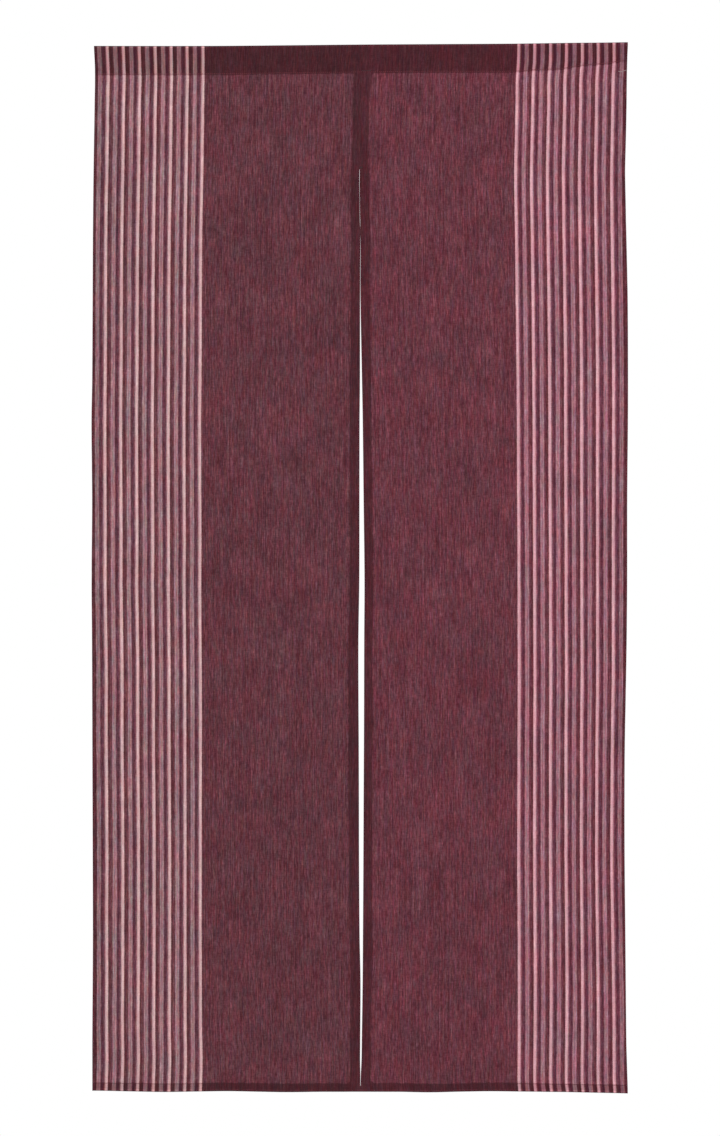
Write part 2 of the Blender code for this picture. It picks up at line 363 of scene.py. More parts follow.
def doubled_by(panel, x, drop):
    """How far inside a hem or the turned-over ply a point lies. Less than 0 is single cloth."""
    slit = edges(panel, drop)[1]
    wander = HEM_WANDER * wave(drop + SIDE_SHIFT * panel.side, LONG_WANDER) * wave(drop, SHORT_WANDER)
    in_slit_hem = read(HEMS, panel.hand, drop) + wander - np.abs(x - slit)
    in_foot_hem = FOOT_HEM + FOOT_WANDER * wave(x, FOOT_WANDER_LENGTH) - (read(ACROSS, "foot", x) - drop)
    in_heading = read(ACROSS, "ply_edge", x) - drop
    return np.maximum(np.maximum(in_slit_hem, in_foot_hem), in_heading)


# %% [markdown]
# A curtain that simply hangs is better placed than simulated, because the photograph tells where
# each edge is. So each sheet starts as Blender's grid primitive, and its points are laid on the folds.
# Its UV map keeps each point's place in the flat cloth, in metres, for the weave. Three distances go with
# each point: from the selvedge, for the stripes, inside a doubled strip, which gets painted shade, and from
# the fold at the crest or the foot, where a painted highlight and painted shade lie. Solidify then gives
# the cloth its thickness.

# %% Laying a sheet
def lay_sheet(name, columns, rows, place):
    """A grid whose points go where place(column, row) says, made as thick as the cloth."""
    bpy.ops.mesh.primitive_grid_add(x_subdivisions=columns, y_subdivisions=rows, size=2.0)
    sheet = bpy.context.object
    sheet.name = sheet.data.name = name
    mesh = sheet.data
    flat = np.empty(3 * len(mesh.vertices))
    mesh.vertices.foreach_get("co", flat)
    # The new grid spans from -1 to 1 both ways
    flat = flat.reshape(-1, 3)
    column = np.rint((flat[:, 0] + 1.0) / 2.0 * columns).astype(int)
    row = np.rint((1.0 - flat[:, 1]) / 2.0 * rows).astype(int)
    point, cloth, *distances = place(column, row)
    mesh.vertices.foreach_set("co", np.stack(point, 1).ravel())
    for label, values in zip(("from_selvedge", "doubled", "from_fold"), distances):
        mesh.attributes.new(label, "FLOAT", "POINT").data.foreach_set("value", values)
    corner = np.empty(len(mesh.loops), int)
    mesh.loops.foreach_get("vertex_index", corner)
    mesh.uv_layers.active.name = "cloth"
    mesh.uv_layers["cloth"].data.foreach_set("uv", np.stack(cloth, 1)[corner].ravel())
    mesh.update()
    solidify = sheet.modifiers.new("cloth", "SOLIDIFY")
    solidify.thickness = CLOTH
    solidify.offset = 0.0
    solidify.use_even_offset = True
    bpy.ops.object.modifier_apply(modifier=solidify.name)
    bpy.ops.object.shade_smooth_by_angle(angle=pi / 4)
    sheet.select_set(False)
    print(name, len(sheet.data.polygons), "faces")
    return sheet


# %% [markdown]
# A hem is a fold, and so it is built as one: the grid's last columns run to the folded edge, round a
# small half circle and back behind the cloth. The foot does the same with its last rows, over the slit
# hem that is already there, so the corner has four layers, as sewn cloth has. The half circles share one
# middle, which keeps the layers apart all the way round.

# %% Points along a hem
def hem_path(flat, turn_steps, back_steps):
    """The share of the flat part, the angle round the fold and the share of the way back, for each line."""
    turned = np.linspace(0.0, pi, turn_steps + 1)[1:]
    back = np.linspace(0.0, 1.0, back_steps + 1)[1:]
    ones = np.ones(turn_steps + back_steps)
    zeros = np.zeros_like(flat)
    return (
        np.concatenate([flat, ones]),
        np.concatenate([zeros, turned, np.full(back_steps, pi)]),
        np.concatenate([zeros, np.zeros(turn_steps), back]),
    )


PANEL_COLUMNS = 86
PANEL_ROWS = 300
TURN_STEPS = 6
BACK_STEPS = 5
CORNER_EASE = 0.012
SLIT_ROWS = SLIT_TOP + np.array([-0.0030, -0.0020, -0.0010, 0.0000])
FOOT_ROWS = SLIT_FOOT + np.array([0.0000, 0.0010, 0.0020, 0.0030])
FIRST_HALF_WIDTH = 0.42
PANEL_ROUNDS = 3


def foot_layers(x, slit):
    """How many layer distances deep the foot hem is: 1, and 3 where it is folded over the slit hem."""
    return 1.0 + 2.0 * ease((SLIT_HEM + CORNER_EASE - np.abs(x - slit)) / CORNER_EASE)


def lay_panel(panel):
    """One panel: flat cloth, its slit hem turned to the back, and its foot hem turned over that."""
    even = np.linspace(0.0, 1.0, PANEL_ROWS + 1)
    extra = (np.concatenate([SLIT_ROWS, FOOT_ROWS]) - MIDDLE.seam) / (MIDDLE.foot - LAYER - MIDDLE.seam)
    columns = np.linspace(0.0, 1.0, PANEL_COLUMNS + 1)
    across_flat, across_turn, across_back = hem_path(columns, TURN_STEPS, BACK_STEPS)
    down_flat, down_turn, down_back = hem_path(np.sort(np.append(even, extra)), TURN_STEPS, BACK_STEPS)

    def place(column, row):
        layer = (1.0 - np.cos(across_turn[column])) / 2.0
        x = panel.side * mix(FIRST_HALF_WIDTH, 0.0, across_flat[column])
        drop = mix(MIDDLE.seam, MIDDLE.foot, down_flat[row])
        # The edges depend on the drop, and the drop on the place, so both settle in a few rounds
        for _ in range(PANEL_ROUNDS):
            outer, slit = edges(panel, drop)
            nose = slit + panel.side * LAYER / 2.0
            bulge = LAYER / 2.0 * np.sin(across_turn[column])
            way_back = across_back[column] * (read(HEMS, panel.hand, drop) - LAYER / 2.0)
            x = mix(outer, nose, across_flat[column]) + panel.side * (way_back - bulge)
            stack = foot_layers(x, slit)
            middle = read(ACROSS, "foot", x) - stack / 2.0 * LAYER
            radius = (stack / 2.0 - layer) * LAYER
            up = down_back[row] * (FOOT_HEM - stack / 2.0 * LAYER)
            drop = mix(read(ACROSS, "seam", x), middle, down_flat[row])
            drop = drop + radius * np.sin(down_turn[row]) - up
        depth = fold_depth(panel, np.abs(x - outer), drop)
        y = FRONT + depth + stack / 2.0 * LAYER - radius * np.cos(down_turn[row])
        selvedge = from_selvedge(panel, x, drop)
        woven = selvedge + LAYER / 2.0 * across_turn[column] + 2.0 * way_back
        across = woven if panel.side < 0 else CURTAIN_WIDTH - woven
        along = drop + radius * (down_turn[row] - np.sin(down_turn[row])) + 2.0 * up
        from_fold = read(ACROSS, "foot", x) - drop
        return (x, y, -drop), (across, along), selvedge, doubled_by(panel, x, drop), from_fold

    return lay_sheet(panel.node + "_cloth", len(across_flat) - 1, len(down_flat) - 1, place)


panel_cloths = [lay_panel(panel) for panel in PANELS]

# %% [markdown]
# The heading is the same cloth, turned over to the back. Empty of its rod, the sleeve hangs as a narrow
# teardrop that leans back a little: the front ply stays nearly straight and the back ply bellies out. The
# points run up the front ply, over the crest and down the back ply to its edge. The edge lies behind the
# panels, and rises towards the right end, where it was turned over short.

# %% The heading
SLEEVE_ROWS = 56
FLAP_ROWS = 4
HEADING_COLUMNS = 212
HEADING_ROUNDS = 2
POCKET_LEAN = 0.34
TEARDROP_POWER = 1.4
TEARDROP_GAIN = 1.45


def sleeve(x, row):
    """Depth, drop and length of cloth from the seam, for the rows of the turned-over sleeve."""
    crest = read(ACROSS, "crest", x)
    web = read(ACROSS, "web", x)
    pocket = read(ACROSS, "pocket", x)
    seam = read(ACROSS, "seam", x)
    turn = np.clip((row - 1) / SLEEVE_ROWS, 0.0, 1.0) * 2.0 * pi
    drop = mix(web, crest, (1.0 - np.cos(turn)) / 2.0)
    half_open = pocket / 2.0 * TEARDROP_GAIN * np.sin(turn) * np.abs(np.sin(turn / 2.0)) ** TEARDROP_POWER
    lean_back = POCKET_LEAN * pocket * np.sin(turn) ** 2
    sewn = mix(FRONT, FLAP, (1.0 - np.cos(turn / 2.0)) / 2.0)
    drop = np.where(row == 0, seam, drop)
    flap = np.clip((row - 1 - SLEEVE_ROWS) / FLAP_ROWS, 0.0, 1.0)
    drop = np.where(flap > 0.0, mix(web, read(ACROSS, "ply_edge", x), flap), drop)
    up = np.where(turn <= pi, seam - drop, seam - 2.0 * crest + drop)
    return sewn + lean_back - half_open, drop, up


def lay_heading():
    rows = SLEEVE_ROWS + 1 + FLAP_ROWS

    def place(column, row):
        share = column / HEADING_COLUMNS
        x = mix(ACROSS[0].x, ACROSS[-1].x, share)
        for _ in range(HEADING_ROUNDS):
            y, drop, up = sleeve(x, row)
            x = mix(read(OUTLINE, "outer_left", drop), read(OUTLINE, "outer_right", drop), share)
        left, right = PANELS
        selvedge = np.where(x < 0.0, from_selvedge(left, x, drop), from_selvedge(right, x, drop))
        across = np.where(x < 0.0, selvedge, CURTAIN_WIDTH - selvedge)
        along = read(ACROSS, "seam", x) - up
        in_flap = read(ACROSS, "ply_edge", x) - drop
        return (x, y, -drop), (across, along), selvedge, in_flap, drop - read(ACROSS, "crest", x)

    return lay_sheet("heading_cloth", HEADING_COLUMNS, rows, place)


heading_cloth = lay_heading()

# %% [markdown]
# The sewing is modelled as thread. One stitch is a six-sided cylinder, cut into rings, whose ends are
# pinched and pushed back into the cloth as the needle pulls them. All rows are copies of that one stitch.

# %% One stitch
STITCH = 0.0026
STITCH_PITCH = 0.0032
THREAD = 0.00042
STITCH_DIP = 0.00040
STITCH_CUTS = 3
END_PINCH = (0.96, 0.6, 0.6)
SHOULDER_DIP = 0.15 * STITCH_DIP


def select_nothing(piece, kind):
    bpy.context.view_layer.objects.active = piece
    bpy.ops.object.mode_set(mode="EDIT")
    bpy.ops.mesh.select_mode(type=kind)
    bpy.ops.mesh.select_all(action="DESELECT")
    bpy.ops.object.mode_set(mode="OBJECT")


def select_points(piece, test):
    """Edit mode, with only the points for which test(place) holds selected."""
    select_nothing(piece, "VERT")
    for vertex in piece.data.vertices:
        vertex.select = test(vertex.co)
    bpy.ops.object.mode_set(mode="EDIT")


def cut_into_rings(piece, cuts):
    """Divides a lying cylinder along its length."""
    select_nothing(piece, "EDGE")
    points = piece.data.vertices
    for edge in piece.data.edges:
        start, end = (points[index].co for index in edge.vertices)
        edge.select = abs(start.x - end.x) > abs(start.y - end.y) + abs(start.z - end.z)
    bpy.ops.object.mode_set(mode="EDIT")
    bpy.ops.mesh.subdivide(number_cuts=cuts)
    bpy.ops.object.mode_set(mode="OBJECT")


def lay_thread(sides, radius, length, cuts):
    """A cylinder that lies along X, cut into rings."""
    lying = (0.0, pi / 2, 0.0)
    bpy.ops.mesh.primitive_cylinder_add(vertices=sides, radius=radius, depth=length, rotation=lying)
    thread = bpy.context.object
    bpy.ops.object.transform_apply(location=False, rotation=True, scale=True)
    cut_into_rings(thread, cuts)
    return thread


stitch = lay_thread(6, THREAD / 2.0, STITCH, STITCH_CUTS)
select_points(stitch, lambda place: abs(place.x) > 0.45 * STITCH)
bpy.ops.transform.resize(value=END_PINCH)
bpy.ops.transform.translate(value=(0.0, STITCH_DIP, 0.0))
select_points(stitch, lambda place: 0.2 * STITCH < abs(place.x) < 0.3 * STITCH)
bpy.ops.transform.translate(value=(0.0, SHOULDER_DIP, 0.0))
bpy.ops.object.mode_set(mode="OBJECT")

stitch_points = np.array([vertex.co for vertex in stitch.data.vertices])
stitch_faces = [tuple(face.vertices) for face in stitch.data.polygons]
bpy.data.objects.remove(stitch, do_unlink=True)
print("one stitch has", len(stitch_faces), "faces")

# %% [markdown]
# A row of stitches follows a line on the cloth. The line is a list of places, one a stitch apart, with
# the direction of the row there. On the back of the cloth the same stitch is turned over.

# %% Rows of stitches
def sew(name, middles, run, back=False, length=1.0, width=1.0):
    """Copies of the stitch at the middles, each along run, in one mesh."""
    run = np.array(run) / np.linalg.norm(run)
    outwards = np.array((0.0, 1.0 if back else -1.0, 0.0))
    aside = np.cross(run, outwards)
    shape = stitch_points * np.array((length, 1.0, width))
    shape = shape[:, :1] * run - shape[:, 1:2] * outwards + shape[:, 2:] * aside
    points = (np.array(middles)[:, None, :] + shape[None, :, :]).reshape(-1, 3)
    step = len(stitch_points)
    faces = [[i * step + corner for corner in face] for i in range(len(middles)) for face in stitch_faces]
    mesh = bpy.data.meshes.new(name)
    mesh.from_pydata(points, [], faces)
    row = bpy.data.objects.new(name, mesh)
    bpy.context.scene.collection.objects.link(row)
    bpy.context.view_layer.objects.active = row
    bpy.ops.object.mode_set(mode="EDIT")
    bpy.ops.mesh.select_all(action="SELECT")
    bpy.ops.mesh.normals_make_consistent(inside=False)
    bpy.ops.object.mode_set(mode="OBJECT")
    bpy.ops.object.shade_smooth()
    row.select_set(False)
    print(name, len(middles), "stitches")
    return row


FACE = CLOTH / 2.0
TO_EDGE = 0.0024
SIDE_CLEAR = 0.0030
HEADING_STITCH = {"length": 1.12, "width": 1.6}


def spaced(start, end):
    return np.arange(start + STITCH_PITCH / 2.0, end, STITCH_PITCH)


def at(x, y, drop):
    return np.stack(np.broadcast_arrays(x, y, -drop), 1)


def sew_both(name, x, drop, front, behind, run, **size):
    """One row on both faces of the cloth, whose outer layers stand at the depths front and behind."""
    return [
        sew(name + "_front", at(x, front - FACE, drop), run, **size),
        sew(name + "_back", at(x, behind + FACE, drop), run, back=True, **size),
    ]


ALONG_X = (1, 0, 0)
ALONG_Z = (0, 0, 1)
x = spaced(OUTLINE[1].outer_left + SIDE_CLEAR, OUTLINE[1].outer_right - SIDE_CLEAR)
drop = read(ACROSS, "ply_edge", x) - TO_EDGE
rows = sew_both("heading_stitches", x, drop, FRONT, FLAP, ALONG_X, **HEADING_STITCH)
sewing = {"heading_cloth": rows}

# %% The hems' stitches, and the seam that joins the panels above the slit
SEAM_START = 0.052
FOOT_START = 0.0020
JOINING_WIDTH = 0.8
for panel in PANELS:
    drop = spaced(SEAM_START, MIDDLE.foot - FOOT_HEM)
    outer, slit = edges(panel, drop)
    x = slit + panel.side * (read(HEMS, panel.hand, drop) - TO_EDGE)
    y = FRONT + fold_depth(panel, np.abs(x - outer), drop)
    slit_rows = sew_both(panel.node + "_slit_stitches", x, drop, y, y + LAYER, ALONG_Z)
    x = panel.side * spaced(FOOT_START, abs(OUTLINE[-1].outer_left) - 2.0 * SIDE_CLEAR)
    drop = read(ACROSS, "foot", x) - FOOT_HEM + TO_EDGE / 2.0
    outer, slit = edges(panel, drop)
    y = FRONT + fold_depth(panel, np.abs(x - outer), drop)
    behind = y + foot_layers(x, slit) * LAYER
    foot_rows = sew_both(panel.node + "_foot_stitches", x, drop, y, behind, ALONG_X)
    sewing[panel.node + "_cloth"] = slit_rows + foot_rows

drop = spaced(SEAM_START, SLIT_TOP - 2.0 * STITCH)
joint = (read(OUTLINE, "slit_left", drop) + read(OUTLINE, "slit_right", drop)) / 2.0
depth = fold_depth(PANELS[0], np.abs(joint - read(OUTLINE, "outer_left", drop)), drop)
sewing["panel_left_cloth"] += [
    sew("joining_stitches", at(joint, FRONT + depth - FACE, drop), ALONG_Z, width=JOINING_WIDTH),
]

# %% [markdown]
# Two places take the most pull, and they are sewn over: the top of the slit has a bar tack, four long
# stitches laid close, and the heading's row is locked beside the middle. At the right end of that row the
# machine left a short pale thread end on the cloth.

# %% Bar tack, lock stitches and the loose thread end
TACK_DROPS = np.array([0.1946, 0.1951, 0.1957, 0.1962])
TACK_AT = 0.0004
TACK_LENGTH = 0.0072
TACK_WIDTH = 1.3
LOCK_PLACES = np.array([0.0034, 0.0066, 0.0097, 0.0128, 0.0157])
LOCK_TO_EDGE = 0.0042
LOCK_RUN = (1, 0, -0.03)
LOCK_STITCH = {"length": 1.45, "width": 2.6}
proud = FRONT - FACE - THREAD / 3.0
tack = at(TACK_AT, proud, TACK_DROPS)
lock = at(LOCK_PLACES, proud, read(ACROSS, "ply_edge", LOCK_PLACES) - LOCK_TO_EDGE)
sewing["heading_cloth"] += [
    sew("bar_tack", tack, ALONG_X, length=TACK_LENGTH / STITCH, width=TACK_WIDTH),
    sew("lock_stitches", lock, LOCK_RUN, **LOCK_STITCH),
]

LOOSE_START = 0.4100
LOOSE_END = 0.4236
LOOSE_RADIUS = 0.65 * THREAD
LOOSE_DROP = 0.0426
LOOSE_RISE = 0.0016
LOOSE_WAVE = 0.0004
LOOSE_LIFT = 0.0010
TIP_PINCH = 0.35
loose_thread = lay_thread(8, LOOSE_RADIUS, LOOSE_END - LOOSE_START, 15)
loose_thread.name = loose_thread.data.name = "loose_thread_end"
for vertex in loose_thread.data.vertices:
    share = min(max(vertex.co.x / (LOOSE_END - LOOSE_START) + 0.5, 0.0), 1.0)
    pinch = mix(1.0, TIP_PINCH, float(ease((share - 0.85) / 0.15)))
    y = FRONT - FACE - 0.6 * THREAD - LOOSE_LIFT * float(ease((share - 0.3) / 0.7))
    drop = LOOSE_DROP - LOOSE_RISE * share ** 1.6 + LOOSE_WAVE * np.sin(5.0 * share)
    x = mix(LOOSE_START, LOOSE_END, share)
    vertex.co = (x, y + pinch * vertex.co.y, -drop + pinch * vertex.co.z)
bpy.ops.object.shade_smooth()
loose_thread.select_set(False)
sewing["heading_cloth"].append(loose_thread)
print("the loose end is", f"{1000 * (LOOSE_END - LOOSE_START):.0f}", "mm long")

# %% [markdown]
# The finish comes next. All of it is nodes, and what both cloth materials share is in node groups. A few
# short helpers keep the node code readable.

# %% Helpers for nodes
def colour(red, green, blue):
    """A colour as a screen shows it, 0 to 255, in the linear values that shaders use."""
    parts = [part / 255.0 for part in (red, green, blue)]
    return (*[part / 12.92 if part <= 0.04045 else ((part + 0.055) / 1.055) ** 2.4 for part in parts], 1.0)


def add(tree, kind, inputs=None, **settings):
    node = tree.nodes.new(kind)
    for setting, value in settings.items():
        setattr(node, setting, value)
    for socket, value in (inputs or {}).items():
        if isinstance(value, bpy.types.NodeSocket):
            tree.links.new(value, node.inputs[socket])
        else:
            node.inputs[socket].default_value = value
    return node


def reckon(tree, operation, *values):
    return add(tree, "ShaderNodeMath", dict(enumerate(values)), operation=operation).outputs[0]


def blend(tree, factor, first, second, kind="MIX", clamp=True):
    inputs = {"Factor": factor, 6: first, 7: second}
    settings = {"data_type": "RGBA", "blend_type": kind, "clamp_factor": clamp}
    return add(tree, "ShaderNodeMix", inputs, **settings).outputs[2]


def grade(tree, value, low, high, to_low=0.0, to_high=1.0, soft=True):
    """Turns a range of values into another, eased at both ends and never past them."""
    inputs = {"Value": value, "From Min": low, "From Max": high, "To Min": to_low, "To Max": to_high}
    kind = "SMOOTHSTEP" if soft else "LINEAR"
    return add(tree, "ShaderNodeMapRange", inputs, interpolation_type=kind).outputs["Result"]


def noise(tree, place, across, along, detail=2.0, roughness=0.5, output=0):
    """Noise on the flat cloth, whose lumps are about as wide and as long as given, in metres."""
    shrink = (1.0 / across, 1.0 / along, 1.0)
    stretched = add(tree, "ShaderNodeVectorMath", {0: place, 1: shrink}, operation="MULTIPLY")
    inputs = {"Vector": stretched.outputs[0], "Scale": 1.0, "Detail": detail, "Roughness": roughness}
    return add(tree, "ShaderNodeTexNoise", inputs, noise_dimensions="2D").outputs[output]


SOCKETS = {"value": "NodeSocketFloat", "colour": "NodeSocketColor", "vector": "NodeSocketVector"}


def start_group(name, inputs, outputs):
    tree = bpy.data.node_groups.new(name, "ShaderNodeTree")
    for way, sockets in (("INPUT", inputs), ("OUTPUT", outputs)):
        for socket, kind in sockets.items():
            tree.interface.new_socket(socket, in_out=way, socket_type=SOCKETS[kind])
    return tree, tree.nodes.new("NodeGroupInput").outputs, tree.nodes.new("NodeGroupOutput").inputs


def give(tree, outputs, **values):
    for socket, value in values.items():
        tree.links.new(value, outputs[socket])


def use(tree, group, inputs):
    return add(tree, "ShaderNodeGroup", inputs, node_tree=group).outputs


def start_material(name):
    material = bpy.data.materials.new(name)
    material.use_nodes = True
    return material, material.node_tree, material.node_tree.nodes["Principled BSDF"]


def raise_bump(tree, shader, height, strength, distance):
    inputs = {"Strength": strength, "Distance": distance, "Height": height}
    tree.links.new(add(tree, "ShaderNodeBump", inputs).outputs[0], shader.inputs["Normal"])


# %% [markdown]
# The yarn is heathered: it was dyed unevenly before it was spun, so each thread goes from light to dark
# every few centimetres. Warp threads run up and down, so the marks are long and thin and stand upright.
# Noise that is stretched along the cloth gives them. The group puts out one value, 0 for the darkest yarn
# and 1 for the lightest, and a tint.

# %% The heathered yarn
# Streaks, long streaks, hairs, weft threads, whole warp ends and wide unevenness, with their size in metres
MARKS = table(
    "moved across along detail roughness amount",
    (False, 0.00190, 0.0160, 2.0, 0.6, 1.35),
    (True, 0.00342, 0.0416, 1.0, 0.5, 0.60),
    (True, 0.00100, 0.0060, 1.0, 0.5, 0.75),
    (False, 0.00900, 0.0013, 1.0, 0.5, 0.55),
    (False, 0.00170, 0.1800, 1.0, 0.5, 0.65),
    (True, 0.03000, 0.0600, 1.0, 0.5, 0.35),
)
ELSEWHERE = (3.7, 1.9, 0.0)
PALE_SKEW = 0.6
CONTRAST = 1.05
DRIFT_SIZE = (0.0028, 0.040)
DRIFT_GAIN = (0.4, 0.4, 0.4)
DRIFT_BASE = (0.8, 0.8, 0.8)
PATCH_SIZE = (0.010, 0.034)
WIDE_PATCH_SIZE = (0.045, 0.090)
WIDE_PATCH_AMOUNT = 0.5
FLECK_SIZE = (0.0016, 0.012)
FLECK_AMOUNT = 1.3
LEAN_RANGE = (1.00, 1.80)
SLATE_LEAN = (0.88, 1.08, 1.06, 1.0)
RUST_LEAN = (1.13, 0.90, 0.92, 1.0)

outputs = {"light": "value", "tint": "colour"}
heather, given, put = start_group("heathered_yarn", {"cloth": "vector"}, outputs)
cloth = given["cloth"]
moved = add(heather, "ShaderNodeVectorMath", {0: cloth, 1: ELSEWHERE}, operation="ADD").outputs[0]
spread = 0.0
for mark in MARKS:
    place = moved if mark.moved else cloth
    made = noise(heather, place, mark.across, mark.along, mark.detail, mark.roughness)
    spread = reckon(heather, "MULTIPLY_ADD", reckon(heather, "SUBTRACT", made, 0.5), mark.amount, spread)

# Pale hairs stand out further than dark ones
skewed = reckon(heather, "MULTIPLY_ADD", spread, PALE_SKEW, CONTRAST)
light = reckon(heather, "MULTIPLY_ADD", spread, skewed, 0.5)

# A tint drifts along the threads, and on top of it patches and streaks lean towards rust or towards slate
drift = noise(heather, cloth, *DRIFT_SIZE, detail=1.0, output="Color")
inputs = {0: drift, 1: DRIFT_GAIN, 2: DRIFT_BASE}
drift = add(heather, "ShaderNodeVectorMath", inputs, operation="MULTIPLY_ADD").outputs[0]
patches = noise(heather, moved, *PATCH_SIZE)
wide_patches = noise(heather, cloth, *WIDE_PATCH_SIZE, detail=1.0)
flecks = noise(heather, cloth, *FLECK_SIZE, detail=1.0)
leaning = reckon(heather, "MULTIPLY_ADD", flecks, FLECK_AMOUNT, patches)
leaning = reckon(heather, "MULTIPLY_ADD", wide_patches, WIDE_PATCH_AMOUNT, leaning)
lean = blend(heather, grade(heather, leaning, *LEAN_RANGE), SLATE_LEAN, RUST_LEAN)
give(heather, put, light=light, tint=blend(heather, 1.0, drift, lean, "MULTIPLY"))
print("heathered yarn has", len(heather.nodes), "nodes")

# %% [markdown]
# The stripes repeat seven times from each selvedge. One repeat is a table that reads like a warping plan:
# how far from the start of the repeat each colour stands, in millimetres, for single cloth and for
# doubled cloth, which looks darker because less light comes through it. Two colour ramps hold the table.
# Its colours were set against averages along the threads in the photograph.

# %% The striped bands
SELVEDGE = 0.0044
REPEAT = 0.02533
BAND_END = 0.1753
EDGE_BLUR = 0.0003
BORDER = (BAND_END - 0.0004, BAND_END + 0.0003)
OUTERMOST_STRIPE = (0.0060, 0.0090)
STOPS = table(
    "at single doubled",
    (0.0, (128, 84, 91), (104, 62, 67)),
    (0.5, (158, 116, 124), (138, 98, 103)),
    (1.4, (168, 127, 134), (144, 105, 109)),
    (3.4, (154, 113, 121), (137, 99, 104)),
    (5.4, (167, 127, 133), (142, 104, 108)),
    (6.3, (152, 110, 118), (130, 92, 97)),
    (7.2, (104, 61, 72), (81, 43, 51)),
    (8.2, (95, 53, 65), (74, 35, 47)),
    (10.0, (96, 54, 66), (74, 34, 46)),
    (11.6, (109, 64, 76), (80, 38, 46)),
    (13.2, (134, 90, 98), (99, 54, 58)),
    (14.1, (186, 144, 149), (160, 114, 118)),
    (15.2, (213, 171, 175), (197, 150, 152)),
    (17.5, (219, 177, 179), (200, 154, 155)),
    (18.4, (198, 156, 158), (176, 133, 135)),
    (19.0, (104, 59, 64), (80, 40, 43)),
    (20.0, (97, 54, 60), (73, 34, 39)),
    (22.3, (101, 57, 65), (75, 37, 42)),
    (24.6, (112, 68, 77), (77, 40, 46)),
)
GROUND = colour(98, 54, 63)
# Doubled cloth gets painted shade: it is darker, as less light comes through two layers
DOUBLED_GROUND = colour(73.5, 35.5, 42)
SELVEDGE_COLOUR = colour(86, 44, 51)
DOUBLED_SELVEDGE = colour(72, 33, 41)
OUTERMOST_DIM = 0.80


def stripe_ramp(tree, factor, column):
    ramp = add(tree, "ShaderNodeValToRGB", {0: factor})
    elements = ramp.color_ramp.elements
    while len(elements) < len(STOPS):
        elements.new(0.5)
    for element, stop in zip(elements, STOPS):
        element.position = stop.at / 1000.0 / REPEAT
        element.color = colour(*getattr(stop, column))
    return ramp.outputs[0]


band, given, put = start_group(
    "striped_band", {"from_selvedge": "value", "jitter": "value"},
    {"single": "colour", "doubled": "colour", "striped": "value"},
)
place = reckon(band, "ADD", given["from_selvedge"], given["jitter"])
start = reckon(band, "SUBTRACT", place, SELVEDGE)
share = reckon(band, "FRACT", reckon(band, "DIVIDE", start, REPEAT))
in_repeats = grade(band, start, -EDGE_BLUR, EDGE_BLUR)
in_ground = grade(band, place, *BORDER)
striped = reckon(band, "MULTIPLY", in_repeats, reckon(band, "SUBTRACT", 1.0, in_ground))
dim = grade(band, start, *OUTERMOST_STRIPE, OUTERMOST_DIM, 1.0)
colours = {}
for column, selvedge, ground in (
    ("single", SELVEDGE_COLOUR, GROUND), ("doubled", DOUBLED_SELVEDGE, DOUBLED_GROUND)
):
    stripes = stripe_ramp(band, share, column)
    dimmed = add(band, "ShaderNodeVectorMath", {0: stripes, 3: dim}, operation="SCALE").outputs[0]
    colours[column] = blend(band, in_ground, blend(band, in_repeats, selvedge, dimmed), ground)
give(band, put, striped=striped, **colours)
print("one repeat is", 1000 * REPEAT, "mm wide, in", len(STOPS), "steps")

# %% [markdown]
# Close up, the cloth is a plain weave: each warp thread goes over one weft thread and under the next. Two
# sine waves give the round backs of the two sets of threads, and the sign of their product says which is
# on top. The height feeds a bump, because threads this fine would take millions of faces. The gaps
# between the threads are put out too, for painted shade in the colour.

# %% The plain weave
WARP_PITCH = 0.00056
WEFT_PITCH = 0.00064
CROSSING = 0.25
GAP_RANGE = (0.55, 0.25)

weave, given, put = start_group("plain_weave", {"cloth": "vector"}, {"height": "value", "gap": "value"})
parts = add(weave, "ShaderNodeSeparateXYZ", {0: given["cloth"]}).outputs
warp_wave = reckon(weave, "SINE", reckon(weave, "MULTIPLY", parts["X"], pi / WARP_PITCH))
weft_wave = reckon(weave, "SINE", reckon(weave, "MULTIPLY", parts["Y"], pi / WEFT_PITCH))
warp_back = reckon(weave, "ABSOLUTE", warp_wave)
weft_back = reckon(weave, "ABSOLUTE", weft_wave)
warp_on_top = grade(weave, reckon(weave, "MULTIPLY", warp_wave, weft_wave), -CROSSING, CROSSING)
difference = reckon(weave, "SUBTRACT", warp_back, weft_back)
height = reckon(weave, "MULTIPLY_ADD", difference, warp_on_top, weft_back)
gap = grade(weave, reckon(weave, "MAXIMUM", warp_back, weft_back), *GAP_RANGE)
give(weave, put, height=height, gap=gap)
print("threads are", 1000 * WARP_PITCH, "mm and", 1000 * WEFT_PITCH, "mm apart")

# %% [markdown]
# The folds get painted light. Where the cloth is folded over, at the crest and at the foot, a thin paler
# line just inside the edge is a painted highlight, broken into patches, and the fold itself gets painted
# shade. Over the whole curtain the dye is a little uneven, in soft clouds a hand wide.

# %% Painted highlight and shade at the folds, and uneven dye
HIGHLIGHT_LINE = 0.0025
HIGHLIGHT_WIDTH = 0.0014
HIGHLIGHT_PATCH = (0.012, 0.012)
LEAST_HIGHLIGHT = 0.35
CLOUD_SIZE = (0.085, 0.130)
CLOUD_SHADES = (0.94, 1.06)
FOLD_WIDTH = 0.0016
FOLD_SHADE = 0.80

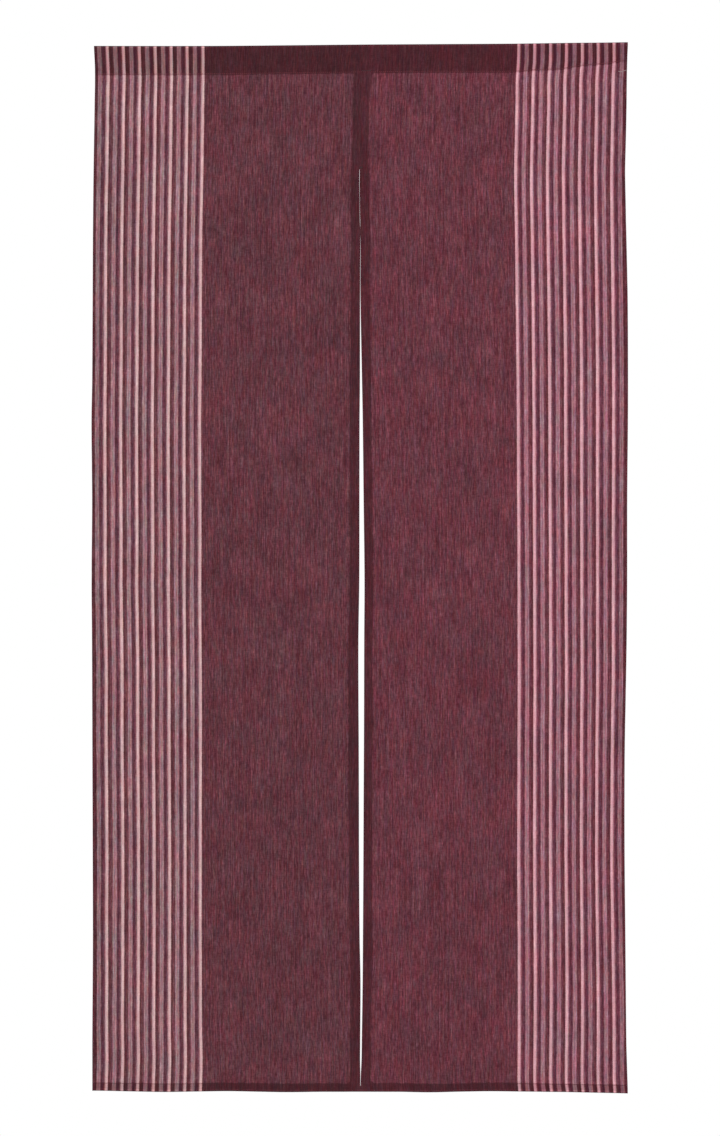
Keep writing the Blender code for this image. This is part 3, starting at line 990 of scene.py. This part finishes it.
fold_light_and_dye_group, given, put = start_group(
    "painted_fold_light_and_dye", {"cloth": "vector", "from_fold": "value"}, {"rubbed": "value", "shade": "value"}
)
# Painted highlight: a thin paler line just inside each folded edge, broken into patches
off_line = reckon(fold_light_and_dye_group, "ABSOLUTE", reckon(fold_light_and_dye_group, "SUBTRACT", given["from_fold"], HIGHLIGHT_LINE))
line = grade(fold_light_and_dye_group, off_line, HIGHLIGHT_WIDTH, 0.0)
patchy = grade(fold_light_and_dye_group, noise(fold_light_and_dye_group, given["cloth"], *HIGHLIGHT_PATCH), 0.35, 0.65, LEAST_HIGHLIGHT, 1.0)
clouds = noise(fold_light_and_dye_group, given["cloth"], *CLOUD_SIZE)
clouds = grade(fold_light_and_dye_group, clouds, 0.25, 0.75, *CLOUD_SHADES, soft=False)
# Painted shade on the fold itself, at the crest and at the foot
fold = grade(fold_light_and_dye_group, given["from_fold"], 0.0, FOLD_WIDTH, FOLD_SHADE, 1.0)
give(
    fold_light_and_dye_group, put,
    rubbed=reckon(fold_light_and_dye_group, "MULTIPLY", line, patchy),
    shade=reckon(fold_light_and_dye_group, "MULTIPLY", clouds, fold),
)
print("folds are rubbed", 1000 * HIGHLIGHT_LINE, "mm in from the edge")

# %% [markdown]
# Both cloth materials come from one recipe. The stripes and the ground give the colour, the heather moves
# it between a darker and a lighter yarn, and doubled strips are calmer and get painted shade, as less light
# comes through them. The right panel is a shade redder than the left one, as cloth from one bolt can be.
# Where a row of stitches crosses the stripes, a fine wine red line is painted: partly the thread's own
# colour, partly painted shade where the thread draws the cloth in. The folds' painted highlight and shade,
# the painted shade in the weave's gaps and a darker painted foot hem are laid on here. Cotton and linen are
# matt, so the shader is rough, with a little sheen.

# %% The cloth materials
DARK_YARN = (0.48, 0.30, 0.36, 1.0)
LIGHT_YARN = (1.52, 1.70, 1.64, 1.0)
WHITE = (1.0, 1.0, 1.0, 1.0)
RIGHT_GROUND_TINT = (1.12, 1.01, 1.06, 1.0)
RIGHT_STRIPE_TINT = (1.06, 0.90, 0.99, 1.0)
# Painted shade of doubled cloth, set apart for the heading and the panels
HEADING_DOUBLED_TINT = (0.95, 0.945, 0.96, 1.0)
PANEL_DOUBLED_TINT = (1.07, 1.10, 1.12, 1.0)
FOOT_SHADE = 0.93
FOOT_SHADE_RANGE = (0.0110, 0.0150)
WOBBLE_SIZE = (0.003, 0.0016)
WOBBLE = 0.0006
HEM_WOBBLE_SIZE = (0.005, 0.009)
HEM_WOBBLE = 0.0032
HEM_BLUR = 0.0008
CALM_RANGE = (0.05, 0.32)
CALMEST_STRIPE = 0.38
CALM_DOUBLED = 0.62
TINT_RANGE = (0.18, 0.45)
LEAST_TINT = 0.35
MIDDLE_STRIP = (0.48 * CURTAIN_WIDTH, 0.52 * CURTAIN_WIDTH)
# Painted light on the threads' backs and painted shade in the gaps between them
THREAD_SHADE = 1.02
GAP_SHADE = 0.80
ROUGHNESS_RANGE = (0.94, 0.84)
# The stitch rows' painted line: the thread's wine red and painted shade where it draws the cloth in
SEWN_THREAD_AND_SHADE = colour(88, 32, 43)
SEWN_WIDTH = 0.0011
ROW_COLUMNS = "inside left_cover right_cover"
HEADING_ROW, FOOT_ROW = table(ROW_COLUMNS, (TO_EDGE, 0.58, 0.30), (TO_EDGE / 2.0, 0.32, 0.40))
# Painted highlight on the folds: how much paler the thin line is
FOLD_HIGHLIGHT = (1.6, 1.6, 1.6, 1.0)


def read_attribute(tree, name):
    return add(tree, "ShaderNodeAttribute", attribute_name=name).outputs["Fac"]


def cloth_material(name, doubled_tint, foot_shade, row):
    material, tree, shader = start_material(name)
    flat = add(tree, "ShaderNodeUVMap", uv_map="cloth").outputs[0]
    yarn = use(tree, heather, {"cloth": flat})
    threads = use(tree, weave, {"cloth": flat})
    fold_light_and_dye = use(tree, fold_light_and_dye_group, {"cloth": flat, "from_fold": read_attribute(tree, "from_fold")})
    inside = read_attribute(tree, "doubled")
    wobble = reckon(tree, "SUBTRACT", noise(tree, flat, *WOBBLE_SIZE, detail=1.0), 0.5)
    jitter = reckon(tree, "MULTIPLY", wobble, WOBBLE)
    stripes = use(tree, band, {"from_selvedge": read_attribute(tree, "from_selvedge"), "jitter": jitter})
    hem_wobble = reckon(tree, "SUBTRACT", noise(tree, flat, *HEM_WOBBLE_SIZE), 0.5)
    doubled = reckon(tree, "MULTIPLY_ADD", hem_wobble, HEM_WOBBLE, inside)
    doubled = grade(tree, doubled, -HEM_BLUR, HEM_BLUR)

    # Painted shade: doubled strips take the darker colours
    tinted_double = blend(tree, 1.0, stripes["doubled"], doubled_tint, "MULTIPLY")
    plain = blend(tree, doubled, stripes["single"], tinted_double)
    paleness = add(tree, "ShaderNodeRGBToBW", {0: plain}).outputs[0]
    calm_stripe = grade(tree, paleness, *CALM_RANGE, 1.0, CALMEST_STRIPE, soft=False)
    calm = reckon(tree, "MULTIPLY", calm_stripe, grade(tree, doubled, 0.0, 1.0, 1.0, CALM_DOUBLED))
    light = reckon(tree, "MULTIPLY_ADD", reckon(tree, "SUBTRACT", yarn["light"], 0.5), calm, 0.5)
    yarn_colour = blend(tree, light, DARK_YARN, LIGHT_YARN, clamp=False)
    heathered = blend(tree, 1.0, plain, yarn_colour, "MULTIPLY")
    tint_share = grade(tree, paleness, *TINT_RANGE, 1.0, LEAST_TINT)
    tinted = blend(tree, tint_share, heathered, yarn["tint"], "MULTIPLY")
    across = add(tree, "ShaderNodeSeparateXYZ", {0: flat}).outputs["X"]
    side = grade(tree, across, *MIDDLE_STRIP)
    right_tint = blend(tree, stripes["striped"], RIGHT_GROUND_TINT, RIGHT_STRIPE_TINT)
    sided = blend(tree, 1.0, tinted, blend(tree, side, WHITE, right_tint), "MULTIPLY")
    # Painted highlight: a thin paler line just inside the folded edges
    rubbed = blend(tree, fold_light_and_dye["rubbed"], WHITE, FOLD_HIGHLIGHT)
    with_fold_highlight = blend(tree, 1.0, sided, rubbed, "MULTIPLY")
    # A painted line along each row of stitches: partly the thread's colour, partly painted shade of the
    # drawn-in cloth
    off_row = reckon(tree, "ABSOLUTE", reckon(tree, "SUBTRACT", inside, row.inside))
    on_row = grade(tree, off_row, SEWN_WIDTH, 0.25 * SEWN_WIDTH)
    cover = grade(tree, side, 0.0, 1.0, row.left_cover, row.right_cover, soft=False)
    on_row = reckon(tree, "MULTIPLY", on_row, cover)
    sewn = blend(tree, reckon(tree, "MULTIPLY", on_row, stripes["striped"]), with_fold_highlight, SEWN_THREAD_AND_SHADE)
    # Painted shade in the weave's gaps
    gap_shade = grade(tree, threads["gap"], 0.0, 1.0, THREAD_SHADE, GAP_SHADE)
    shade = reckon(tree, "MULTIPLY", fold_light_and_dye["shade"], gap_shade)
    # Painted shade: the foot hem is painted darker than the other doubled strips
    foot = grade(tree, read_attribute(tree, "from_fold"), *FOOT_SHADE_RANGE, foot_shade, 1.0)
    shade = reckon(tree, "MULTIPLY", shade, foot)
    shaded = add(tree, "ShaderNodeVectorMath", {0: sewn, 3: shade}, operation="SCALE").outputs[0]
    tree.links.new(shaded, shader.inputs["Base Color"])
    tree.links.new(grade(tree, yarn["light"], 0.2, 0.8, *ROUGHNESS_RANGE), shader.inputs["Roughness"])
    raise_bump(tree, shader, threads["height"], strength=0.35, distance=0.0001)
    shader.inputs["Specular IOR Level"].default_value = 0.10
    shader.inputs["Sheen Weight"].default_value = 0.02
    shader.inputs["Sheen Roughness"].default_value = 0.6
    print(name, "has", len(tree.nodes), "nodes")
    return material


panel_finish = cloth_material("striped_panel_cloth", PANEL_DOUBLED_TINT, FOOT_SHADE, FOOT_ROW)
heading_finish = cloth_material("striped_heading_cloth", HEADING_DOUBLED_TINT, 1.0, HEADING_ROW)
for cloth in panel_cloths:
    cloth.data.materials.append(panel_finish)
heading_cloth.data.materials.append(heading_finish)

# %% [markdown]
# Sewing thread is two or three fine yarns twisted together. A band that runs round the thread at a slant
# gives the twist, in a bump and in the colour, where it is painted light on the yarns' crests and painted
# shade in the grooves between them. It serves three threads: a dark one that matches the cloth and is
# painted darker still for the shade that the stitches lie in, the wine red one of the heading's row, and
# the pale one of the loose end.

# %% The threads
TWIST_SLANT = 1.7
twist, given, put = start_group("thread_twist", {"place": "vector", "pitch": "value"}, {"ridge": "value"})
parts = add(twist, "ShaderNodeSeparateXYZ", {0: given["place"]}).outputs
slant = reckon(twist, "MULTIPLY_ADD", parts["Z"], TWIST_SLANT, reckon(twist, "ADD", parts["X"], parts["Y"]))
ridge = reckon(twist, "ABSOLUTE", reckon(twist, "SINE", reckon(twist, "DIVIDE", slant, given["pitch"])))
give(twist, put, ridge=ridge)


def thread_material(name, dark, pale, pitch):
    material, tree, shader = start_material(name)
    here = add(tree, "ShaderNodeTexCoord").outputs["Object"]
    ridge = use(tree, twist, {"place": here, "pitch": pitch})["ridge"]
    # Painted light on the yarns' crests and painted shade in the grooves between them
    tree.links.new(blend(tree, ridge, dark, pale), shader.inputs["Base Color"])
    raise_bump(tree, shader, ridge, strength=0.5, distance=0.00005)
    tree.links.new(grade(tree, ridge, 0.0, 1.0, 0.8, 0.62), shader.inputs["Roughness"])
    shader.inputs["Sheen Weight"].default_value = 0.1
    return material


FINE_TWIST = 0.00018
LOOSE_TWIST = 0.00026
# The dark thread is painted darker than the cloth, for the shade that the stitches lie in
dark_thread = thread_material("matching_thread_painted_darker", colour(40, 16, 22), colour(66, 30, 38), FINE_TWIST)
wine_thread = thread_material("wine_thread", colour(84, 24, 36), colour(128, 48, 60), FINE_TWIST)
pale_thread = thread_material("pale_thread", colour(150, 132, 132), colour(205, 190, 188), LOOSE_TWIST)
for rows in sewing.values():
    for row in rows:
        row.data.materials.append(wine_thread if row.name.startswith("heading") else dark_thread)
loose_thread.data.materials[0] = pale_thread
print("threads are dyed")

# %% [markdown]
# Now the pieces are tied to the imported model. Each sheet stands for its solid, which is hidden. The
# stitches ride along with the cloth that they hold.

for cloth, panel in zip(panel_cloths, PANELS):
    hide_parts(panel.node)
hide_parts("heading")
for cloth in (*panel_cloths, heading_cloth):
    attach(cloth, "root")
    for row in sewing[cloth.name]:
        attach(row, "root")

# %% [markdown]
# The stage is plain: a pale round floor below the foot of the curtain, a white surround, and one wide
# soft light in front. The surround is pure white only where the camera sees it, and dimmer as a light.

# %% Floor, surround and light
FLOOR_DROP = 2.0
FLOOR_RADIUS = 1.8
FLOOR_DEPTH = 0.02
FLOOR_PLACE = (0.0, 0.0, -FLOOR_DROP - FLOOR_DEPTH / 2.0)
bpy.ops.mesh.primitive_cylinder_add(
    vertices=96, radius=FLOOR_RADIUS, depth=FLOOR_DEPTH, location=FLOOR_PLACE
)
floor = bpy.context.object
floor.name = floor.data.name = "floor"
bpy.ops.object.transform_apply(location=True, rotation=False, scale=False)
floor_finish, tree, shader = start_material("pale_floor")
where = add(tree, "ShaderNodeTexCoord").outputs["Object"]
grain = add(tree, "ShaderNodeTexNoise", {"Vector": where, "Scale": 30.0, "Detail": 4.0}).outputs[0]
pale = blend(tree, grain, colour(222, 220, 216), colour(232, 230, 227))
tree.links.new(pale, shader.inputs["Base Color"])
shader.inputs["Roughness"].default_value = 0.8
floor.data.materials.append(floor_finish)
floor.select_set(False)
floor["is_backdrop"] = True

SURROUND_LIGHT = 0.62
world = bpy.data.worlds.new("surround")
world.use_nodes = True
bpy.context.scene.world = world
tree = world.node_tree
seen = add(tree, "ShaderNodeLightPath").outputs["Is Camera Ray"]
strength = grade(tree, seen, 0.0, 1.0, SURROUND_LIGHT, 1.0, soft=False)
background = tree.nodes["Background"]
background.inputs["Color"].default_value = WHITE
tree.links.new(strength, background.inputs["Strength"])

KEY_PLACE = Vector((-0.2, -4.4, 0.0))
KEY_AIM = Vector((0.05, 0.0, -0.85))
KEY_SIZE = 2.4
KEY_POWER = 71.0
key_data = bpy.data.lights.new("key", "AREA")
key_data.shape = "DISK"
key_data.size = KEY_SIZE
key_data.energy = KEY_POWER
key = bpy.data.objects.new("key", key_data)
bpy.context.scene.collection.objects.link(key)
key.location = KEY_PLACE
key.rotation_euler = (KEY_AIM - KEY_PLACE).to_track_quat("-Z", "Y").to_euler()
bpy.context.scene.view_settings.view_transform = "Standard"
print("one soft light of", KEY_POWER, "W")

# %% [markdown]
# Last, the box of the finished curtain is printed under that of the imported model.

# %% Size and finish
visual_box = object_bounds()
for label, box in (("packed", cad_box), ("dressed", visual_box)):
    print(label, [[round(1000 * value, 1) for value in corner] for corner in box])
